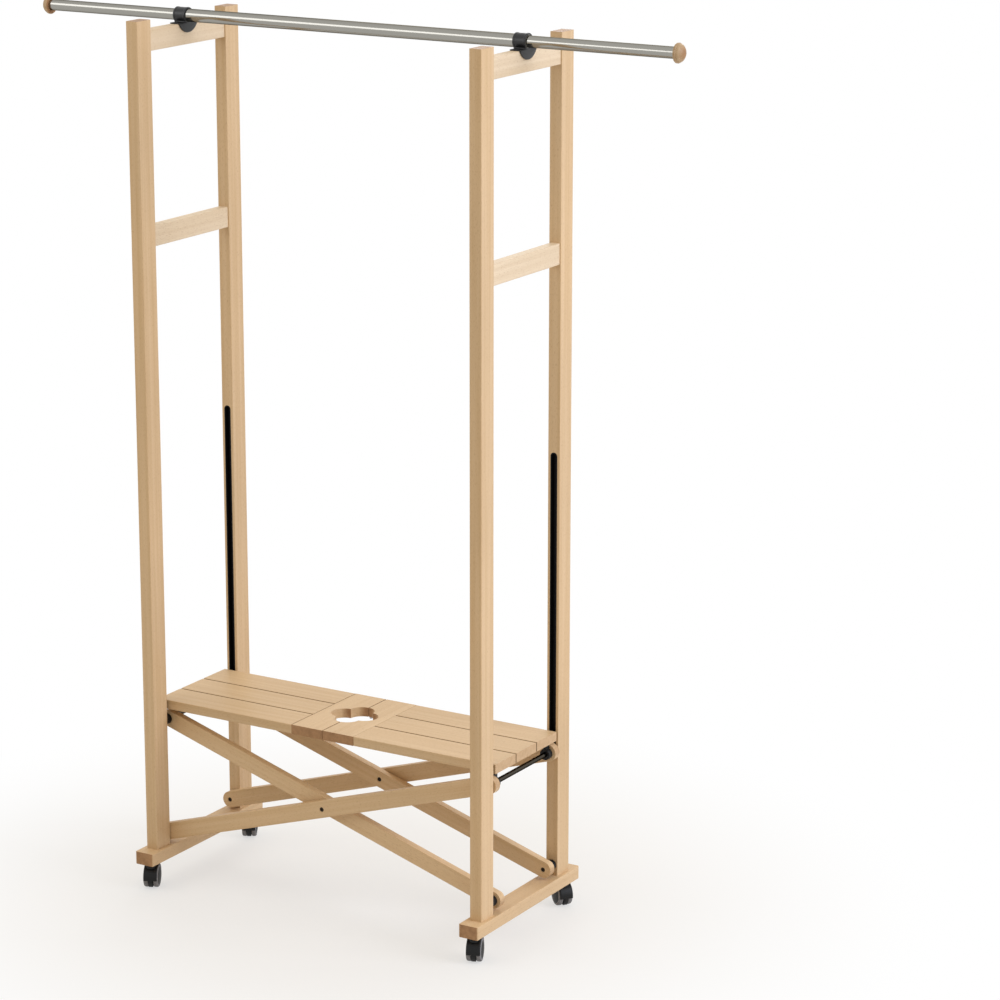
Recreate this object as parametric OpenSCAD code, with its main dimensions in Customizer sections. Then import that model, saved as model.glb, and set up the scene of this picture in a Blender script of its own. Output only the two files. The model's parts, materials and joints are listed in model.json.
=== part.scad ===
// Folding coat stand on casters: two end frames, crossed bars, a shelf that folds up and a hanging tube
// X runs along the hanging tube, Y from front to back, Z up. The origin is on the floor at the centre.

/* [End frames] */
// Height of the posts' tops above the floor
height = 1740; // [1600:5:1900]
// Distance between the left and right posts' centres, open
frame_span = 760; // [700:5:820]
// Distance between the front and rear posts' centres
frame_depth = 288; // [270:2:330]
// Width of a post, along the stand
post_w = 26; // [24:1:32]
// Depth of a post, front to back
post_d = 44; // [40:1:54]
// Radius of the eased edges of posts, rails, bars and boards
ease_r = 1.5; // [0.5:0.5:2.5]
// Foot beam past each post's face
foot_past_post = 28; // [22:1:54]
// Width of a foot beam
foot_w = 43; // [38:1:56]
// Height of a foot beam
foot_h = 26; // [24:1:34]
// Thickness of the top and mid rails
rail_t = 20; // [16:1:22]
// Height of the top and mid rails
rail_h = 41; // [34:1:50]
// Post top above the top rail
post_over_rail = 19; // [14:1:40]
// Length of a rail's tenon
tenon_l = 12; // [8:1:16]

/* [Crossed bars] */
// Width of a bar
bar_w = 34; // [28:1:36]
// Thickness of a bar
bar_t = 16; // [12:1:18]
// Lower pivots above the foot beams
pivot_over_foot = 22; // [20:1:30]
// Upper rods above the floor, open
rod_z = 340; // [300:5:380]
// Diameter of a cross rod
rod_d = 10; // [8:0.5:12]
// Diameter of the pivot bolts
bolt_d = 6; // [5:0.5:7]
// Diameter of the pivot bolts' heads
head_d = 9; // [8.5:0.5:12]
// Distance between the left and right posts' centres, folded
fold_span = 115; // [105:5:140]

/* [Slots] */
// Outer width of a slot's liner
liner_w = 15; // [14:0.5:17]
// Wall of a slot's liner
liner_t = 1.5; // [1:0.1:2]
// Depth of a slot in the post
slot_depth = 13; // [11:0.5:18]
// Slot below a glide when the stand is open
glide_rest = 10; // [1:1:60]
// Slot above the rod's folded place
slot_above = 47; // [20:1:60]
// Length of a glide on a rod's end
glide_l = 9; // [6:0.5:9]

/* [Shelf] */
// Gap between the shelf's sides and the posts
shelf_side_gap = 7; // [6:1:20]
// Thickness of the slats and boards
shelf_t = 19; // [15:1:24]
// Underside of the shelf above the rods' axes
shelf_over_rod = 24; // [20:1:30]
// Shelf past each rod's axis
shelf_past_rod = 13; // [12:1:16]
// Width of a centre board, along the stand
board_w = 72; // [60:1:90]
// Gap between two slats
slat_gap = 2.4; // [0.6:0.1:3]
// Distance from the centre to each lobe of the hand hole
lobe_out = 25; // [20:0.5:25]
// Radius of a lobe of the hand hole
lobe_r = 26; // [25.5:0.5:27]
// Width of a rod clip, front to back
clip_w = 12; // [10:1:18]
// Length of a hinge
hinge_l = 40; // [30:1:46]
// Distance from the shelf's side to the middle of a hinge
hinge_in = 37; // [31:1:41]

/* [Hanging tube] */
// Diameter of the middle tube
tube_d = 25; // [22:0.5:30]
// Diameter of the extension tubes
ext_d = 22; // [18:0.5:22]
// Half the hanging tube's full length, to a knob's tip
half_reach = 715; // [680:5:760]
// How far an extension slides in
ext_travel = 300; // [200:5:300]
// Diameter of a knob
knob_d = 37; // [32:1:44]
// Length of a knob
knob_l = 17; // [14:1:24]
// Length of a tube clip's band
band_l = 27; // [20:1:32]
// Radius of a tube clip's tongue
tongue_r = 33; // [28:1:36]

/* [Casters] */
// Diameter of a caster wheel
wheel_d = 46; // [40:1:47]
// Underside of the foot beams above the floor
caster_h = 56; // [55:1:64]
// Width of one wheel of a pair
wheel_w = 10; // [9:0.5:13]
// Swivel axis to wheel axle
trail = 12; // [9:1:14]
// Swivel axis from the foot's end
caster_inset = 22; // [20:1:26]
// Diameter of a caster's stem
stem_d = 6; // [5:0.5:7]

/* [Hidden] */
$fn = 48;

BEECH = [0.87, 0.74, 0.56];
BLACK = [0.10, 0.10, 0.11];
STEEL = [0.80, 0.81, 0.82];
DARK_STEEL = [0.28, 0.25, 0.22];
TREAD = [0.42, 0.42, 0.42];

// Clearances: joints in wood, running fits, faces on the rails, turning faces and pieces that only meet
wood_fit = 0.15;
run_fit = 0.06;
face_gap = 0.05;
turn_gap = 0.25;
part_gap = 0.3;
bar_gap = 1.5;
cut = 1;

half_span = frame_span / 2;
foot_top = caster_h + foot_h;
foot_l = frame_depth + post_d + 2 * foot_past_post;
inner_y = frame_depth / 2 - post_d / 2;
pivot_z = foot_top + pivot_over_foot;

// Layers of the bars, from the post inward, on the rear side
outer_y1 = inner_y - bar_gap;
outer_y0 = outer_y1 - bar_t;
inner_bar_y1 = outer_y0 - bar_gap;
inner_bar_y0 = inner_bar_y1 - bar_t;

// The bars' slope, length and folded slope
slope = atan2(rod_z - pivot_z, frame_span);
bar_len = sqrt(pow(frame_span, 2) + pow(rod_z - pivot_z, 2));
fold_slope = acos(fold_span / bar_len);
rod_z_folded = pivot_z + bar_len * sin(fold_slope);

slot_z0 = rod_z - glide_rest - liner_w / 2;
slot_z1 = rod_z_folded + slot_above;
channel_w = liner_w - 2 * liner_t;
glide_gap = 0.3;
glide_d = channel_w - 2 * glide_gap;
glide_y0 = inner_y + 2 * glide_gap;
rod_end = glide_y0 + glide_l;

// The shelf: its planes, its halves' ends and its hinge axis
shelf_z0 = rod_z + shelf_over_rod;
shelf_end = half_span + shelf_past_rod;
seam = 0.4;
shelf_w = 2 * (inner_y - shelf_side_gap);
slat_w = (shelf_w - 2 * slat_gap) / 3;
knuckle_r = 3;
pin_r = 1.5;
leaf_t = 1.6;
leaf_w = 26;
hinge_y = shelf_w / 2 - hinge_in;
knuckle_below = 0.2;
knuckle_gap = 0.3;
hinge_z = shelf_z0 - knuckle_r - knuckle_below;
cleat_w = 28;
cleat_h = 12;
cleat_in = 28;
cleat_clip_gap = 6;
tongue_l = 8;
tongue_h = 6;
tongue_shoulder = 10;
slat_joint = 0.2;
screw_d = 3.6;
screw_l = 12;
screw_head_d = 6.6;
screw_head_h = 2;
leaf_screw_in = 8;
rod_clip_wall = 6;
rod_clip_neck = 8;
rod_clip_flange = 22;
rod_clip_flange_t = 3;
rod_clip_gap = 0.5;
clip_screw_in = 16;

// The mid rail stays clear of the folded shelf's ridge
ridge_clear = 31;
half_shelf = sqrt(pow(half_span, 2) + pow(hinge_z - rod_z, 2));
shelf_fold = acos(fold_span / 2 / half_shelf) - atan2(hinge_z - rod_z, half_span);
ridge_z = rod_z_folded + half_shelf * sin(shelf_fold + atan2(hinge_z - rod_z, half_span));
mid_rail_z = round(ridge_z + shelf_t * cos(shelf_fold) + ridge_clear);
top_rail_z = height - post_over_rail - rail_h;
rail_shoulder_x = 4;
rail_shoulder_z = 6;
rail_tenon_w = rail_t - 2 * rail_shoulder_x;
rail_tenon_h = rail_h - 2 * rail_shoulder_z;
post_shoulder_x = 6;
post_shoulder_y = 10;
post_tenon_w = post_w - 2 * post_shoulder_x;
post_tenon_d = post_d - 2 * post_shoulder_y;
post_tenon_l = 14;
foot_corner_r = 4;

// Bolts and washers
bolt_in_post = 18;
head_h = 3;
head_room = 0.3;
head_sunk = 1;
head_seat = head_sunk + head_h;
washer_d = 18;
spacer_d = 21;
barrel_bore_d = 4;

// Hanging tube
rail_top = height - post_over_rail;
clip_plate_t = 2.2;
plate_z0 = rail_top + 4 * face_gap;
tube_z = rail_top + 2.5 + tube_d / 2;
tube_bore_d = ext_d + 0.16;
tube_in_band = 0.5;
tube_end = half_span + band_l / 2 - tube_in_band;
ext_wall = 1.2;
ext_start = ext_travel + 20;
knob_x = half_reach - knob_l;
knob_rim = 5;
knob_bore_l = 9;
band_t = 3;
tongue_t = 3;
saddle_w = 22;
plate_share = 0.9;

// Casters: each faces its own way
axle_z = wheel_d / 2;
axle_d = 5;
web_t = 9;
wheel_gap = 0.6;
wheel_x0 = web_t / 2 + wheel_gap;
hood_gap = 1.2;
hood_t = 1.6;
hood_r = wheel_d / 2 + hood_gap + hood_t;
hood_side = 0.5;
hood_half_w = wheel_x0 + wheel_w + hood_side + hood_t;
shoulder_r = 5;
hood_front = 28;
hood_back = 15;
web_z0 = 4;
boss_d = 16;
boss_gap = 1;
boss_over_axle = 10;
boss_seat = 0.7;
axle_short = 2;
stem_in_foot = 20;
stem_z0 = axle_z + 7;
collar_d = 20;
collar_t = 1.2;
shoulder_w = 3;
dish = 2;
hub_r = 8;
tyre_t = 5;
caster_y = foot_l / 2 - caster_inset;
yaw_left_front = 25;
yaw_right_front = 22;
yaw_left_rear = 30;
yaw_right_rear = 52;

// A cylinder along +Y from y0 to y1
module rod_y(d, y0, y1) {
    translate([0, y0, 0]) rotate([-90, 0, 0]) cylinder(d = d, h = y1 - y0);
}

// A cylinder along +X from x0 to x1
module rod_x(d, x0, x1) {
    translate([x0, 0, 0]) rotate([0, 90, 0]) cylinder(d = d, h = x1 - x0);
}

// The children on the rear side and again on the front side
module front_and_rear() {
    children();
    mirror([0, 1, 0]) children();
}

module front_only() {
    mirror([0, 1, 0]) children();
}

module on_left() {
    translate([-half_span, 0, 0]) children();
}

module on_right() {
    translate([half_span, 0, 0]) children();
}

// A square prism, centred on X and Y
module centred_box(x, y, z0, z1) {
    translate([-x / 2, -y / 2, z0]) cube([x, y, z1 - z0]);
}

// A flat shape with four round corners
module round_rect(x, y, r) {
    square([x - 2 * r, y], center = true);
    square([x, y - 2 * r], center = true);
    for (sx = [-1, 1], sy = [-1, 1])
        translate([sx * (x / 2 - r), sy * (y / 2 - r)]) circle(r = r);
}

// Prisms with eased long edges, centred across their length: upright, front to back and along the stand
module eased_z(x, y, z0, z1) {
    translate([0, 0, z0]) linear_extrude(z1 - z0) round_rect(x, y, ease_r);
}

module eased_y(x, z, y0, y1) {
    translate([0, y0, 0]) rotate([90, 0, 180]) linear_extrude(y1 - y0) round_rect(x, z, ease_r);
}

module eased_x(y, z, x0, x1) {
    translate([x0, 0, 0]) rotate([90, 0, 90]) linear_extrude(x1 - x0) round_rect(y, z, ease_r);
}

// An upright slot shape with round ends, from y0 to y1
module slot_shape(w, z0, z1, y0, y1) {
    translate([-w / 2, y0, z0 + w / 2]) cube([w, y1 - y0, z1 - z0 - w]);
    for (z = [z0 + w / 2, z1 - w / 2])
        translate([0, 0, z]) rod_y(w, y0, y1);
}

// End frames

module rail_tenon(grow, z0) {
    tenon_w = rail_tenon_w + 2 * grow;
    tenon_y = 2 * (inner_y + tenon_l + grow);
    translate([-tenon_w / 2, -tenon_y / 2, z0 + (rail_h - rail_tenon_h) / 2 - grow])
        cube([tenon_w, tenon_y, rail_tenon_h + 2 * grow]);
}

module post_tenon(grow) {
    translate([0, frame_depth / 2, 0])
        centred_box(post_tenon_w + 2 * grow, post_tenon_d + 2 * grow,
            foot_top - post_tenon_l - grow, foot_top + cut);
}

module post() {
    color(BEECH) difference() {
        union() {
            translate([0, frame_depth / 2, 0]) eased_z(post_w, post_d, foot_top, height);
            post_tenon(0);
        }
        slot_shape(liner_w + 2 * wood_fit, slot_z0 - wood_fit, slot_z1 + wood_fit,
            inner_y - cut, inner_y + slot_depth + wood_fit);
        rail_tenon(wood_fit, top_rail_z);
        rail_tenon(wood_fit, mid_rail_z);
        translate([0, 0, pivot_z])
            rod_y(bolt_d + 2 * run_fit, inner_y - cut, inner_y + bolt_in_post + part_gap);
    }
}

module slot_liner() {
    color(BLACK) difference() {
        slot_shape(liner_w, slot_z0, slot_z1, inner_y, inner_y + slot_depth);
        slot_shape(channel_w, slot_z0 + liner_t, slot_z1 - liner_t,
            inner_y - cut, inner_y + slot_depth - liner_t);
    }
}

module rail(z0) {
    color(BEECH) {
        translate([0, 0, z0 + rail_h / 2]) eased_y(rail_t, rail_h, -inner_y, inner_y);
        rail_tenon(0, z0);
    }
}

module foot() {
    color(BEECH) difference() {
        intersection() {
            translate([0, 0, caster_h]) linear_extrude(foot_h) round_rect(foot_w, foot_l, foot_corner_r);
            translate([0, 0, caster_h + foot_h / 2]) eased_y(foot_w, foot_h, -foot_l / 2, foot_l / 2);
        }
        front_and_rear() post_tenon(wood_fit);
        front_and_rear() translate([0, caster_y, caster_h - cut])
            cylinder(d = stem_d + 2 * run_fit, h = cut + stem_in_foot + part_gap);
    }
}

module caster_stem() {
    color(STEEL) translate([0, caster_y, 0]) {
        translate([0, 0, stem_z0]) cylinder(d = stem_d, h = caster_h + stem_in_foot - stem_z0);
        translate([0, 0, caster_h - collar_t]) cylinder(d = collar_d, h = collar_t);
    }
}

// A bolt through one bar into a post, its head sunk in the bar's inner face
module pivot_bolt(bar_y) {
    color(DARK_STEEL) translate([0, 0, pivot_z]) {
        rod_y(bolt_d, bar_y + head_sunk, inner_y + bolt_in_post);
        rod_y(head_d, bar_y + head_sunk, bar_y + head_seat);
    }
}

// A ring on a bolt or rod, from y0 to y1
module ring_y(outer_d, inner_d, y0, y1) {
    difference() {
        rod_y(outer_d, y0, y1);
        rod_y(inner_d, y0 - cut, y1 + cut);
    }
}

// Crossed bars

// A bar from its lower pivot at the origin along +X. Its bolt heads sink in at low_face and mid_face.
module bar_shape(y0, low_face, mid_face) {
    room = 2 * head_room;
    color(BEECH) difference() {
        intersection() {
            union() {
                translate([0, y0, -bar_w / 2]) cube([bar_len, bar_t, bar_w]);
                rod_y(bar_w, y0, y0 + bar_t);
                translate([bar_len, 0, 0]) rod_y(bar_w, y0, y0 + bar_t);
            }
            translate([0, y0 + bar_t / 2, 0]) eased_x(bar_t, bar_w, -bar_w / 2, bar_len + bar_w / 2);
        }
        rod_y(bolt_d + 2 * run_fit, y0 - cut, y0 + bar_t + cut);
        rod_y(head_d + room, low_face - cut, low_face + head_seat + head_room);
        translate([bar_len / 2, 0, 0]) {
            rod_y(bolt_d + 2 * run_fit, y0 - cut, y0 + bar_t + cut);
            rod_y(head_d + room, mid_face - head_seat - head_room, mid_face + head_seat + head_room);
        }
        translate([bar_len, 0, 0]) rod_y(rod_d + 2 * run_fit, y0 - cut, y0 + bar_t + cut);
    }
}

// Outer bars rise from the left posts' lower pivots to the right rod
module outer_place() {
    translate([-half_span, 0, pivot_z]) rotate([0, -slope, 0]) children();
}

// Inner bars rise from the right posts' lower pivots to the left rod
module inner_place() {
    translate([half_span, 0, pivot_z]) rotate([0, slope, 0]) mirror([1, 0, 0]) children();
}

module outer_bar() {
    outer_place() bar_shape(outer_y0, outer_y0, outer_y1);
}

module inner_bar() {
    inner_place() bar_shape(inner_bar_y0, inner_bar_y0, inner_bar_y0);
}

// A barrel and a screw that meet inside the crossing, with a flange sunk in each outer face
module crossing_bolt() {
    color(DARK_STEEL) outer_place() translate([bar_len / 2, 0, 0]) {
        difference() {
            union() {
                rod_y(bolt_d, inner_bar_y0 + head_seat + head_room, outer_y1 - head_sunk);
                rod_y(head_d, outer_y1 - head_seat, outer_y1 - head_sunk);
            }
            rod_y(barrel_bore_d, inner_bar_y0, outer_y0);
        }
        rod_y(barrel_bore_d - 2 * run_fit, inner_bar_y0 + head_sunk, outer_y0 - part_gap);
        rod_y(head_d, inner_bar_y0 + head_sunk, inner_bar_y0 + head_seat);
    }
}

module crossing_washer() {
    outer_place() translate([bar_len / 2, 0, 0])
        ring_y(washer_d, bolt_d + 2 * run_fit, inner_bar_y1 + turn_gap, outer_y0);
}

module right_rod_washer() {
    translate([half_span, 0, rod_z])
        ring_y(washer_d, rod_d + 2 * run_fit, outer_y1, inner_y - turn_gap);
}

module cross_rod() {
    color(STEEL) translate([0, 0, rod_z]) rod_y(rod_d, -rod_end, rod_end);
}

module glide() {
    color(BLACK) translate([0, 0, rod_z])
        ring_y(glide_d, rod_d + 2 * run_fit, glide_y0, rod_end);
}

// Shelf: the left half lies from -shelf_end to the seam, and the right half is its mirror image

module hand_hole() {
    translate([0, 0, shelf_z0 - cut]) linear_extrude(shelf_t + 2 * cut)
        for (a = [0 : 90 : 270])
            rotate([0, 0, a]) translate([lobe_out, 0]) circle(r = lobe_r);
}

slat_x1 = -seam - board_w - slat_joint;
tongue_w = slat_w - 2 * tongue_shoulder;

module slat_tongue(grow, y) {
    translate([slat_x1 - cut, y - tongue_w / 2 - grow, shelf_z0 + (shelf_t - tongue_h) / 2 - grow])
        cube([cut + tongue_l + grow, tongue_w + 2 * grow, tongue_h + 2 * grow]);
}

slat_places = [-slat_w - slat_gap, 0, slat_w + slat_gap];
hinge_screw_x = -leaf_w + leaf_screw_in;
clip_screw_x = -half_span + clip_screw_in;

// The hinge screws' places on a half, two through each leaf
hinge_screw_places = [
    for (s = [-1, 1], d = [-1, 1]) [hinge_screw_x, s * hinge_y + d * hinge_l / 4]
];

// A screw driven upwards, its head under the face at z
module screw_up(z, length) {
    translate([0, 0, z]) cylinder(d = screw_d, h = length);
    translate([0, 0, z - screw_head_h]) cylinder(d = screw_head_d, h = screw_head_h);
}

module hinge_screw_bores() {
    for (p = hinge_screw_places)
        translate([p[0], p[1], shelf_z0 - cut])
            cylinder(d = screw_d + 2 * run_fit, h = cut + screw_l + part_gap);
}

module half_slats() {
    color(BEECH) for (y = slat_places) {
        translate([0, y, shelf_z0 + shelf_t / 2]) eased_x(slat_w, shelf_t, -shelf_end, slat_x1);
        slat_tongue(0, y);
    }
}

module half_centre_board() {
    color(BEECH) difference() {
        translate([-seam - board_w / 2, 0, shelf_z0 + shelf_t / 2])
            eased_y(board_w, shelf_t, -shelf_w / 2, shelf_w / 2);
        hand_hole();
        for (y = slat_places)
            slat_tongue(wood_fit, y);
        hinge_screw_bores();
    }
}

module half_cleat() {
    cleat_half = left_clip_y - cleat_clip_gap;
    color(BEECH) translate([-half_span + cleat_in + cleat_w / 2, 0, shelf_z0 - cleat_h / 2])
        eased_y(cleat_w, cleat_h, -cleat_half, cleat_half);
}

module half_hinge_screws() {
    color(DARK_STEEL) for (p = hinge_screw_places)
        translate([p[0], p[1], 0]) screw_up(shelf_z0 - leaf_t, leaf_t + screw_l);
}

// A screw through a rod clip's flange at y0, ending above the flange's underside by length
module clip_screw(y0, top, length) {
    color(DARK_STEEL) translate([clip_screw_x, y0 + clip_w / 2, 0])
        screw_up(top - rod_clip_flange_t, length);
}

// A clip that hangs a half on its rod, from y0 outward: a ring, a neck and a flange with its face at top
module rod_clip(y0, top) {
    clip_r = rod_d / 2 + rod_clip_wall;
    color(BLACK) difference() {
        translate([-half_span, 0, rod_z]) {
            rod_y(2 * clip_r, y0, y0 + clip_w);
            translate([-rod_clip_neck / 2, y0, 0]) cube([rod_clip_neck, clip_w, top - rod_z]);
            translate([-rod_clip_neck / 2, y0, top - rod_z - rod_clip_flange_t])
                cube([rod_clip_neck / 2 + rod_clip_flange, clip_w, rod_clip_flange_t]);
        }
        translate([-half_span, 0, rod_z]) rod_y(rod_d + 2 * run_fit, y0 - cut, y0 + clip_w + cut);
        translate([clip_screw_x, y0 + clip_w / 2, top - rod_clip_flange_t - cut])
            cylinder(d = screw_d + 2 * run_fit, h = rod_clip_flange_t + 2 * cut);
    }
}

// Hinges. The left leaf carries the two outer knuckles and the pin, the right leaf the middle one.
knuckle_l = hinge_l / 3;
leaf_reach = knuckle_r + 2 * knuckle_gap;

module knuckle(y0, y1) {
    translate([0, 0, hinge_z]) rod_y(2 * knuckle_r, y0, y1);
}

// A leaf's plate from y0 to y1, reaching to the pin's axis where it carries a knuckle
module leaf_plate(y0, y1, reach) {
    translate([-leaf_w, y0, shelf_z0 - leaf_t]) cube([leaf_w - reach, y1 - y0, leaf_t]);
}

// The bores through a leaf's knuckles and for its two screws
module hinge_bores() {
    translate([0, 0, hinge_z]) rod_y(2 * (pin_r + run_fit), -hinge_l, hinge_l);
    for (y = [-hinge_l / 4, hinge_l / 4])
        translate([hinge_screw_x, y, shelf_z0 - leaf_t - cut])
            cylinder(d = screw_d + 2 * run_fit, h = leaf_t + 2 * cut);
}

module left_leaf() {
    difference() {
        union() {
            leaf_plate(-hinge_l / 2, hinge_l / 2, leaf_reach);
            for (s = [-1, 1]) {
                y0 = s > 0 ? knuckle_l / 2 + knuckle_gap : -hinge_l / 2;
                y1 = s > 0 ? hinge_l / 2 : -knuckle_l / 2 - knuckle_gap;
                leaf_plate(y0, y1, 0);
                knuckle(y0, y1);
            }
        }
        hinge_bores();
    }
    translate([0, 0, hinge_z]) rod_y(2 * pin_r, -hinge_l / 2, hinge_l / 2);
}

module right_leaf() {
    difference() {
        union() {
            leaf_plate(-hinge_l / 2, hinge_l / 2, leaf_reach);
            leaf_plate(-knuckle_l / 2, knuckle_l / 2, 0);
            knuckle(-knuckle_l / 2, knuckle_l / 2);
        }
        hinge_bores();
    }
}

module at_hinges() {
    for (s = [-1, 1])
        translate([0, s * hinge_y, 0]) children();
}

// Hanging tube, along X at tube_z

module tube(outer_d, bore_d, x0, x1) {
    difference() {
        rod_x(outer_d, x0, x1);
        rod_x(bore_d, x0 - cut, x1 + cut);
    }
}

// A clip: a band round the tube, a saddle and plate on the rail, and a tongue over the rail's right face
module tube_clip() {
    tongue_x0 = rail_t / 2 + turn_gap;
    plate_half = tongue_r * plate_share;
    color(BLACK) difference() {
        union() {
            translate([0, 0, tube_z]) rod_x(tube_d + 2 * band_t, -band_l / 2, band_l / 2);
            translate([-band_l / 2, -saddle_w / 2, plate_z0]) cube([band_l, saddle_w, tube_z - plate_z0]);
            translate([-rail_t / 2, -plate_half, plate_z0])
                cube([rail_t / 2 + tongue_x0 + tongue_t, 2 * plate_half, clip_plate_t]);
            intersection() {
                translate([0, 0, tube_z]) rod_x(2 * tongue_r, tongue_x0, tongue_x0 + tongue_t);
                translate([0, -tongue_r, 0]) cube([rail_t, 2 * tongue_r, plate_z0 + clip_plate_t]);
            }
        }
        translate([0, 0, tube_z]) rod_x(tube_d + 2 * face_gap, -band_l, band_l);
        translate([-band_l, -tongue_r, plate_z0 - tongue_r])
            cube([band_l + tongue_x0, 2 * tongue_r, tongue_r]);
    }
}

module extension() {
    color(STEEL) translate([0, 0, tube_z])
        tube(ext_d, ext_d - 2 * ext_wall, ext_start, knob_x + knob_bore_l - part_gap);
}

// A turned knob: a flat disc with a domed end, bored for the extension
module knob() {
    dome_h = knob_l - knob_rim;
    dome_r = (pow(knob_d / 2, 2) + pow(dome_h, 2)) / (2 * dome_h);
    color(BEECH) translate([knob_x, 0, tube_z]) rotate([0, 90, 0]) difference() {
        rotate_extrude() {
            square([knob_d / 2, knob_rim]);
            intersection() {
                translate([0, knob_l - dome_r]) circle(r = dome_r);
                translate([0, knob_rim]) square([knob_d / 2, dome_h]);
            }
        }
        translate([0, 0, -cut]) cylinder(d = ext_d + 2 * run_fit, h = cut + knob_bore_l);
    }
}

// Casters. Each is made facing the front, with its swivel axis at the origin and its wheels behind.

module facing(x, y, yaw) {
    translate([x, y, 0]) rotate([0, 0, yaw]) children();
}

// Half a drum's section, from its axis out to r, with two round shoulders
module drum_section(r, half_w, corner) {
    translate([0, corner - half_w]) square([r, 2 * (half_w - corner)]);
    translate([0, -half_w]) square([r - corner, 2 * half_w]);
    for (s = [-1, 1])
        translate([r - corner, s * (half_w - corner)]) circle(r = corner);
}

module hood_section() {
    difference() {
        drum_section(hood_r, hood_half_w, shoulder_r);
        drum_section(hood_r - hood_t, hood_half_w - hood_t, shoulder_r - hood_t);
        translate([0, -hood_half_w - cut]) square([hood_r - shoulder_r, 2 * (hood_half_w + cut)]);
    }
}

// The hood over both wheels, from its low front edge over the top to its back edge
module caster_hood() {
    translate([0, trail, axle_z]) rotate([0, 90, 0]) rotate([0, 0, 90 + hood_back])
        rotate_extrude(angle = 180 - hood_back + hood_front) hood_section();
}

// The boss round the stem, which ends inside the hood's wall and in the web
module caster_boss() {
    boss_z0 = axle_z + boss_over_axle;
    difference() {
        translate([0, 0, boss_z0]) cylinder(d = boss_d, h = caster_h - collar_t - boss_gap - boss_z0);
        translate([0, trail, axle_z])
            rod_x(2 * (hood_r - hood_t * boss_seat), -boss_d, boss_d);
    }
}

// The web between the wheels, which ends inside the hood's wall
module caster_web() {
    intersection() {
        translate([0, trail, axle_z]) rod_x(2 * (hood_r - hood_t / 2), -web_t / 2, web_t / 2);
        translate([-web_t, trail - hood_r, web_z0]) cube([2 * web_t, 2 * hood_r, 2 * hood_r]);
    }
}

module caster_housing() {
    color(BLACK) difference() {
        union() {
            caster_hood();
            caster_boss();
            caster_web();
        }
        translate([0, 0, stem_z0 - part_gap]) cylinder(d = stem_d + 2 * run_fit, h = caster_h);
        translate([0, trail, axle_z]) rod_x(axle_d + 2 * run_fit, -web_t, web_t);
    }
    axle_half = wheel_x0 + wheel_w - axle_short;
    color(STEEL) translate([0, trail, axle_z]) rod_x(axle_d, -axle_half, axle_half);
}

// A wheel with a dished outer face and a rounded tread, its inner face at x = 0
module wheel_shape() {
    r = wheel_d / 2;
    bore_r = axle_d / 2 + run_fit;
    rotate([0, 90, 0]) rotate_extrude() difference() {
        union() {
            translate([bore_r, 0]) square([r - shoulder_w - bore_r, wheel_w]);
            translate([bore_r, 0]) square([r - bore_r, wheel_w - shoulder_w]);
            translate([r - shoulder_w, wheel_w - shoulder_w]) circle(r = shoulder_w);
        }
        translate([hub_r, wheel_w - dish]) square([r - tyre_t - hub_r, dish + cut]);
    }
}

module caster_wheel(side) {
    color(TREAD) translate([0, trail, axle_z])
        mirror([side < 0 ? 1 : 0, 0, 0]) translate([wheel_x0, 0, 0]) wheel_shape();
}

module left_front_post() { on_left() front_only() post(); }
module left_rear_post() { on_left() post(); }
module left_slot_liners() { on_left() front_and_rear() slot_liner(); }
module left_top_rail() { on_left() rail(top_rail_z); }
module left_mid_rail() { on_left() rail(mid_rail_z); }
module left_foot() { on_left() foot(); }
module left_pivot_bolts() { on_left() front_and_rear() pivot_bolt(outer_y0); }
module left_pivot_washers() {
    color(BLACK) on_left() front_and_rear() translate([0, 0, pivot_z])
        ring_y(washer_d, bolt_d + 2 * run_fit, outer_y1 + turn_gap, inner_y);
}
module left_caster_stems() { on_left() front_and_rear() caster_stem(); }

module right_front_post() { on_right() front_only() post(); }
module right_rear_post() { on_right() post(); }
module right_slot_liners() { on_right() front_and_rear() slot_liner(); }
module right_top_rail() { on_right() rail(top_rail_z); }
module right_mid_rail() { on_right() rail(mid_rail_z); }
module right_foot() { on_right() foot(); }
module right_pivot_bolts() { on_right() front_and_rear() pivot_bolt(inner_bar_y0); }
module right_pivot_spacers() {
    color(BLACK) on_right() front_and_rear() translate([0, 0, pivot_z])
        ring_y(spacer_d, bolt_d + 2 * run_fit, inner_bar_y1 + turn_gap, inner_y);
}
module right_caster_stems() { on_right() front_and_rear() caster_stem(); }

module front_outer_bar() { front_only() outer_bar(); }
module rear_outer_bar() { outer_bar(); }
module crossing_bolts() { front_and_rear() crossing_bolt(); }
module outer_bar_washers() {
    color(BLACK) front_and_rear() {
        crossing_washer();
        right_rod_washer();
    }
}
module right_rod() { on_right() cross_rod(); }
module right_rod_glides() { on_right() front_and_rear() glide(); }
module front_inner_bar() { front_only() inner_bar(); }
module rear_inner_bar() { inner_bar(); }
module left_rod() { on_left() cross_rod(); }
module left_rod_glides() { on_left() front_and_rear() glide(); }
module left_rod_spacers() {
    color(BLACK) on_left() front_and_rear() translate([0, 0, rod_z])
        ring_y(spacer_d, rod_d + 2 * run_fit, inner_bar_y1, inner_y - turn_gap);
}

// The clips sit just inside the bars that carry their rod
left_clip_y = inner_bar_y0 - rod_clip_gap - clip_w;
right_clip_y = outer_y0 - rod_clip_gap - clip_w;

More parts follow.
